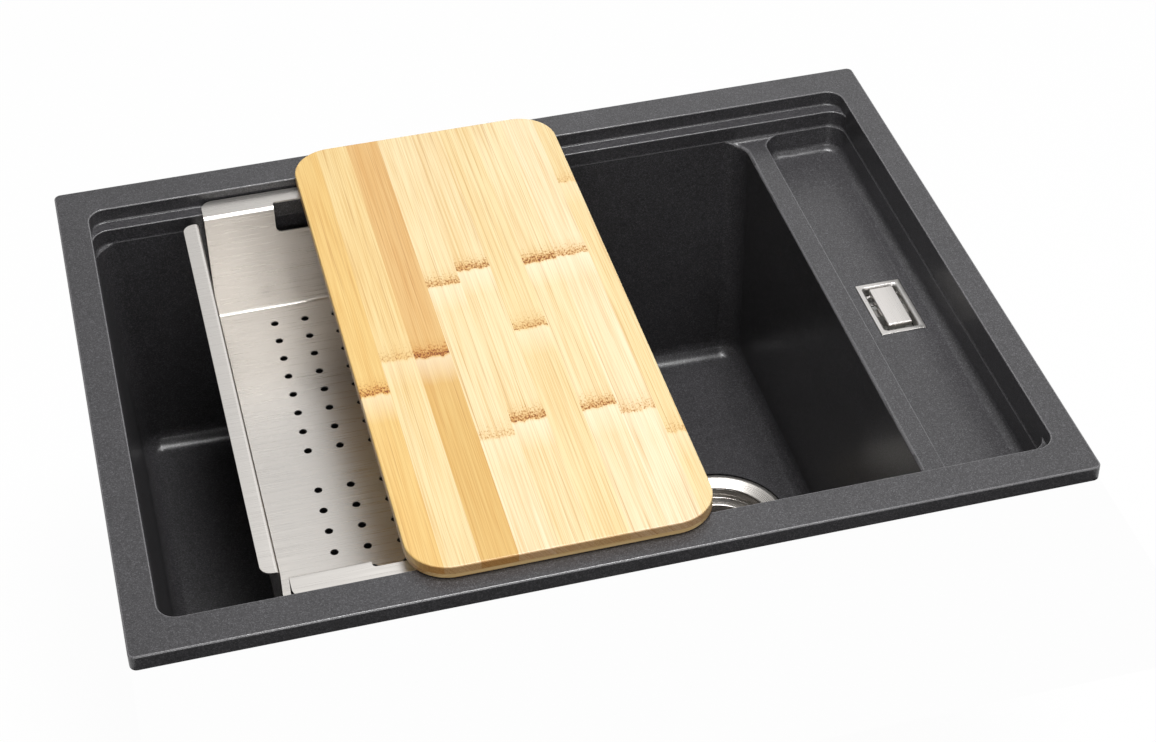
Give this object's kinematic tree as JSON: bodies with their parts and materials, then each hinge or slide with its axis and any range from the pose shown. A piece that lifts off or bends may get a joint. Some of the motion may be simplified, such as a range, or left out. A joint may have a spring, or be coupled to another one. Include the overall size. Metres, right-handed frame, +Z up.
{
  "type": "workstation kitchen sink",
  "caption": "Drop-in workstation kitchen sink in dark composite: bowl with ledge and shelf trough, strainer waste, overflow, sliding perforated steel tray and bamboo board.",
  "frame": {"origin": "centre of the rim's underside, which lies on the worktop", "axes": "+X to the right towards the shelf trough, +Y to the back, +Z up"},
  "size_m": [0.65, 0.5, 0.3557],
  "materials": {
    "composite": "matt granulate",
    "tray_steel": "brushed",
    "waste_steel": "satin",
    "overflow_chrome": "polished",
    "knob_chrome": "polished",
    "zinc_steel": "zinc plated",
    "anchor_brass": "turned",
    "seal_rubber": "matt",
    "pad_silicone": "matt",
    "pad_plastic": "matt",
    "waste_plastic": "moulded",
    "hose_plastic": "moulded",
    "bamboo_top": "oiled",
    "bamboo_bottom": "oiled"
  },
  "bodies": {
    "sink": {"sink_body": "composite", "rim_seal": "seal_rubber", "clamp_anchors": "anchor_brass", "clamp_brackets": "zinc_steel", "anchor_screws": "zinc_steel", "clamp_screws": "zinc_steel", "clamp_pads": "pad_plastic", "waste_flange": "waste_steel", "flange_seal": "seal_rubber", "body_seal": "seal_rubber", "waste_body": "waste_plastic", "waste_insert": "anchor_brass", "waste_screw": "waste_steel", "overflow_frame": "overflow_chrome", "overflow_seal": "seal_rubber", "overflow_body": "waste_plastic", "overflow_screw": "waste_steel", "overflow_hose": "hose_plastic", "hose_seals": "seal_rubber", "hose_nuts": "waste_plastic"},
    "board": {"board_top_ply": "bamboo_top", "board_bottom_ply": "bamboo_bottom"},
    "tray": {"colander_tray": "tray_steel", "tray_pads": "pad_silicone"},
    "strainer": {"strainer_basket": "waste_steel", "basket_seal": "seal_rubber", "basket_knob": "knob_chrome"},
    "cover": {"overflow_cover": "tray_steel"}
  },
  "joints": [
    {"name": "board_slide", "type": "slide", "parent": "sink", "child": "board", "axis": [1, 0, 0], "range_m": [-0.18, 0.26]},
    {"name": "tray_slide", "type": "slide", "parent": "sink", "child": "tray", "axis": [1, 0, 0], "range_m": [-0.066, 0.224]},
    {"name": "strainer_lift", "type": "slide", "parent": "sink", "child": "strainer", "axis": [0, 0, 1], "range_m": [0, 0.06]},
    {"name": "cover_lift", "type": "slide", "parent": "sink", "child": "cover", "axis": [0, 0, 1], "range_m": [0, 0.025]}
  ]
}
